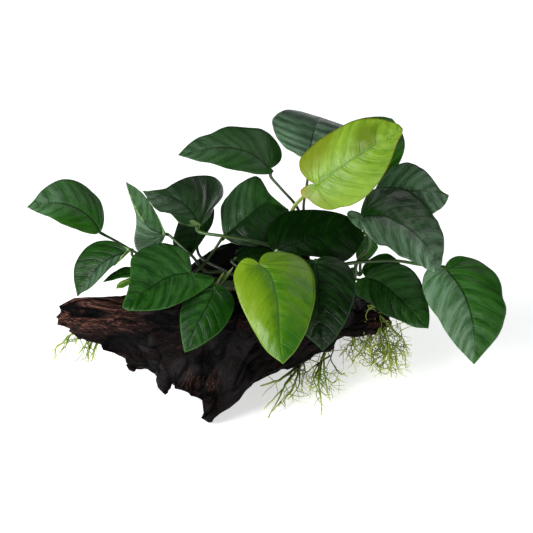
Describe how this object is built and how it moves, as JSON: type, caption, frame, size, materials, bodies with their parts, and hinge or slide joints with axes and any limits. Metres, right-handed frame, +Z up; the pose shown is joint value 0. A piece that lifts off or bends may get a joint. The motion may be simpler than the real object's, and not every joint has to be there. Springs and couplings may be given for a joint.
{
  "type": "anubias on driftwood",
  "caption": "Broad-leaved water plant whose creeping stem and hanging roots hold it to a dark piece of driftwood that stands on its own feet.",
  "frame": {"origin": "middle of the part's outline seen from above, on the surface that the wood's feet stand on", "axes": "+X to the viewer's right along the wood, +Y away from the viewer, +Z up"},
  "size_m": [0.3865, 0.2331, 0.2336],
  "materials": {
    "dark_leaf": "satin",
    "green_leaf": "satin",
    "bright_leaf": "satin",
    "pale_leaf": "satin",
    "leaf_stalk": "satin",
    "creeping_stem": "matte",
    "young_shoot": "satin",
    "root": "matte",
    "driftwood": "matte"
  },
  "bodies": {
    "root": {"wood_left_arm": "driftwood", "wood_trunk": "driftwood", "wood_right_arm": "driftwood", "wood_front_toe": "driftwood", "wood_rear_foot": "driftwood", "wood_back_limb": "driftwood", "rhizome": "creeping_stem", "young_shoots": "young_shoot", "front_roots": "root", "middle_roots": "root", "right_roots": "root", "left_roots": "root", "far_left_leaf_blade": "green_leaf", "far_left_leaf_stalk": "leaf_stalk", "low_left_leaf_blade": "green_leaf", "low_left_leaf_stalk": "leaf_stalk", "upright_left_leaf_blade": "green_leaf", "upright_left_leaf_stalk": "leaf_stalk", "top_left_leaf_blade": "dark_leaf", "top_left_leaf_stalk": "leaf_stalk", "middle_left_leaf_blade": "dark_leaf", "middle_left_leaf_stalk": "leaf_stalk", "hanging_left_leaf_blade": "dark_leaf", "hanging_left_leaf_stalk": "leaf_stalk", "centre_left_leaf_blade": "dark_leaf", "centre_left_leaf_stalk": "leaf_stalk", "top_leaf_blade": "dark_leaf", "top_leaf_stalk": "leaf_stalk", "big_pale_leaf_blade": "pale_leaf", "big_pale_leaf_stalk": "leaf_stalk", "top_right_leaf_blade": "green_leaf", "top_right_leaf_stalk": "leaf_stalk", "high_right_leaf_blade": "dark_leaf", "high_right_leaf_stalk": "leaf_stalk", "big_right_leaf_blade": "dark_leaf", "big_right_leaf_stalk": "leaf_stalk", "centre_leaf_blade": "dark_leaf", "centre_leaf_stalk": "leaf_stalk", "bright_front_leaf_blade": "bright_leaf", "bright_front_leaf_stalk": "leaf_stalk", "dark_front_leaf_blade": "dark_leaf", "dark_front_leaf_stalk": "leaf_stalk", "right_front_leaf_blade": "dark_leaf", "right_front_leaf_stalk": "leaf_stalk", "far_right_leaf_blade": "dark_leaf", "far_right_leaf_stalk": "leaf_stalk", "big_front_left_leaf_blade": "green_leaf", "big_front_left_leaf_stalk": "leaf_stalk", "low_front_leaf_blade": "green_leaf", "low_front_leaf_stalk": "leaf_stalk", "hanging_right_leaf_blade": "green_leaf", "hanging_right_leaf_stalk": "leaf_stalk", "leaf_behind_right_blade": "green_leaf", "leaf_behind_right_stalk": "leaf_stalk", "narrow_left_leaf_blade": "green_leaf", "narrow_left_leaf_stalk": "leaf_stalk", "torn_left_leaf_blade": "pale_leaf", "torn_left_leaf_stalk": "leaf_stalk", "shaded_leaf_blade": "dark_leaf", "shaded_leaf_stalk": "leaf_stalk"}
  },
  "joints": []
}
